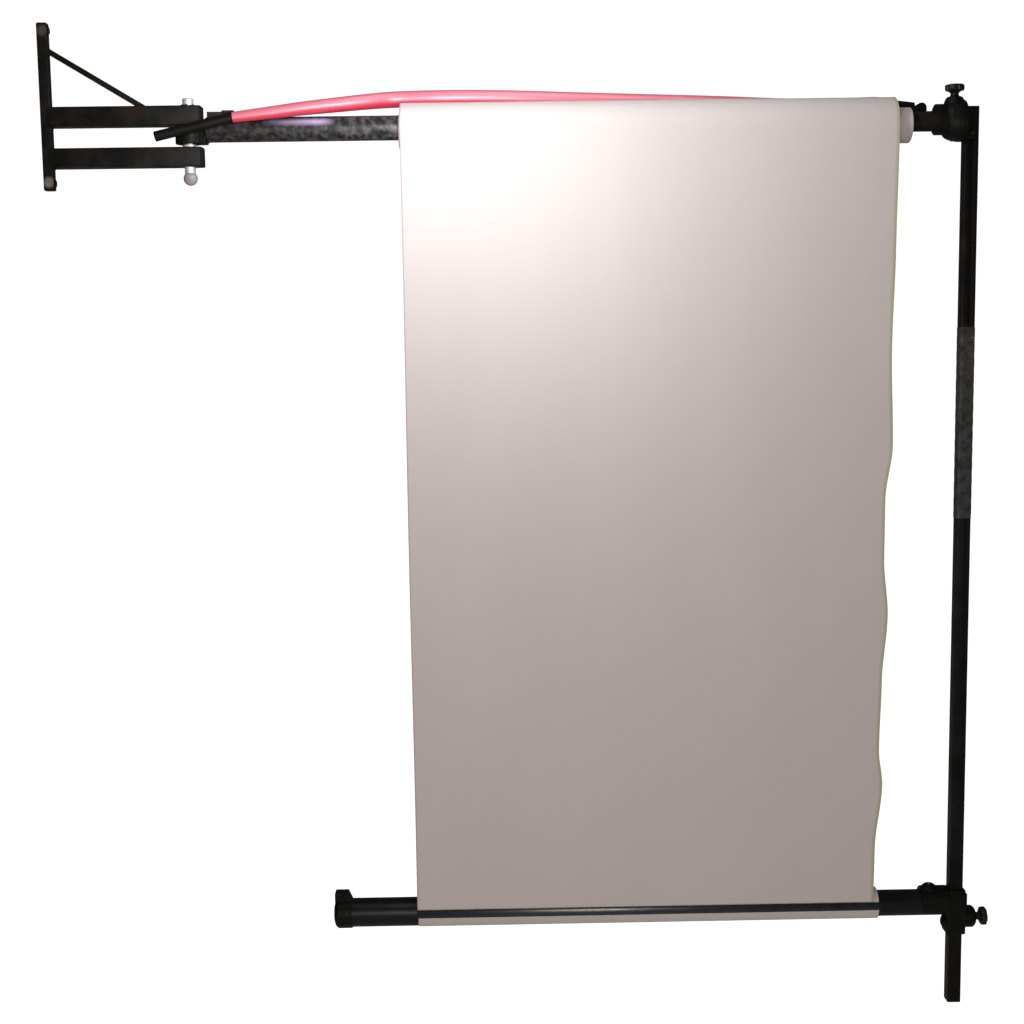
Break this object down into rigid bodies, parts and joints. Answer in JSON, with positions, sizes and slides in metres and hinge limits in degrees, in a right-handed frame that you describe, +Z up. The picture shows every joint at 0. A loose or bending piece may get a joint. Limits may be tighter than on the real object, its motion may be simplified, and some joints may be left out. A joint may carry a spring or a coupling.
{
  "type": "wall-mounted swing-arm stand",
  "caption": "Wall-mounted C-shaped swing arm that holds a roll of diffusion sheet on its boom, with a sliding lower arm that keeps the hanging sheet taut.",
  "frame": {"origin": "middle of the wall post's back face, where it meets the wall", "axes": "+X out from the wall along the boom at rest, -Y out of the hanging sheet's front face, +Z up"},
  "size_m": [1.9171, 0.1204, 2.0476],
  "materials": {
    "black_paint": "satin",
    "black_cast": "satin",
    "black_aluminium": "gloss",
    "black_plastic": "satin",
    "bright_steel": "satin",
    "bronze": "satin",
    "grey_plastic": "satin",
    "red_pipe": "gloss",
    "cardboard": "matte",
    "sheet": "matte",
    "tape": "matte"
  },
  "bodies": {
    "wall_bracket": {"wall_post": "black_paint", "wall_washer_upper": "black_paint", "wall_screw_upper": "black_paint", "wall_post_cap_upper": "black_plastic", "wall_washer_lower": "black_paint", "wall_screw_lower": "black_paint", "wall_post_cap_lower": "black_plastic", "bracket_arm_upper": "black_paint", "arm_plug_upper": "black_plastic", "bracket_arm_lower": "black_paint", "arm_plug_lower": "black_plastic", "brace": "black_paint", "pivot_pin": "bright_steel", "pin_retaining_ring": "bright_steel", "thrust_washer": "bright_steel", "pivot_lock_spacer": "bright_steel"},
    "ball_knob": {"pivot_ball_knob": "grey_plastic"},
    "boom": {"pivot_knuckle": "black_paint", "pivot_bushing_lower": "bronze", "pivot_bushing_upper": "bronze", "boom_tube": "black_paint", "boom_reducer": "black_plastic", "boom_spigot": "black_paint", "spigot_screw": "bright_steel", "pipe_stub_left": "black_paint", "pipe_stub_right": "black_paint", "bow_pipe": "red_pipe", "pipe_saddle_left": "black_paint", "pipe_lug_right": "black_paint"},
    "roll": {"roll_core": "cardboard", "sheet_roll": "sheet"},
    "hanging_post": {"post": "black_paint", "post_cap_top": "black_plastic", "post_cap_bottom": "black_plastic", "post_tape_sleeve": "tape", "clamp_cross_bolt": "black_paint", "clamp_cross_nut": "black_paint", "upper_clamp": "black_cast", "upper_clamp_liner": "black_plastic"},
    "upper_pad": {"upper_lock_pad": "bronze"},
    "upper_knob": {"upper_lock_screw": "bright_steel", "upper_lock_knob": "black_plastic"},
    "lower_arm": {"lower_clamp": "black_cast", "lower_clamp_liner": "black_plastic", "collar_screw": "bright_steel", "arm_tube": "black_aluminium", "take_up_tube": "black_aluminium", "arm_end_stop": "black_cast", "sheet_wrap": "sheet", "hanging_sheet": "sheet", "sheet_batten": "black_plastic"},
    "lower_pad": {"lower_lock_pad": "bronze"},
    "lower_knob": {"lower_lock_screw": "bright_steel", "lower_lock_knob": "black_plastic"}
  },
  "joints": [
    {"name": "boom_swing", "type": "hinge", "parent": "wall_bracket", "child": "boom", "pos_m": [0.2905, 0, -0.06], "axis": [0, 0, 1], "range_deg": [-70, 90]},
    {"name": "roll_spin", "type": "hinge", "parent": "boom", "child": "roll", "pos_m": [1.2, 0, -0.0549], "axis": [1, 0, 0], "range_deg": [-900, 180]},
    {"name": "post_tilt", "type": "hinge", "parent": "boom", "child": "hanging_post", "pos_m": [1.8, 0, -0.0476], "axis": [1, 0, 0], "range_deg": [-15, 15]},
    {"name": "lower_arm_slide", "type": "slide", "parent": "hanging_post", "child": "lower_arm", "axis": [0, 0, 1], "range_m": [-0.13, 0.76], "deforming": ["hanging_sheet"]},
    {"name": "upper_pad_slide", "type": "slide", "parent": "hanging_post", "child": "upper_pad", "axis": [0, 0, 1], "range_m": [0, 0.0035]},
    {"name": "upper_knob_turn", "type": "hinge", "parent": "upper_pad", "child": "upper_knob", "pos_m": [1.81695, 0, 0.01], "axis": [0, 0, 1], "range_deg": [0, 720]},
    {"name": "lower_pad_slide", "type": "slide", "parent": "lower_arm", "child": "lower_pad", "axis": [1, 0, 0], "range_m": [0, 0.0035]},
    {"name": "lower_knob_turn", "type": "hinge", "parent": "lower_pad", "child": "lower_knob", "pos_m": [1.9, 0, -1.7], "axis": [1, 0, 0], "range_deg": [0, 720]},
    {"name": "ball_knob_turn", "type": "hinge", "parent": "wall_bracket", "child": "ball_knob", "pos_m": [0.2905, 0, -0.14], "axis": [0, 0, 1], "continuous": true}
  ],
  "couplings": [
    {"joint": "roll_spin", "follows": "lower_arm_slide", "rad_per_m": -18.518},
    {"joint": "upper_knob_turn", "follows": "upper_pad_slide", "rad_per_m": 3590.4},
    {"joint": "lower_knob_turn", "follows": "lower_pad_slide", "rad_per_m": 3590.4}
  ]
}
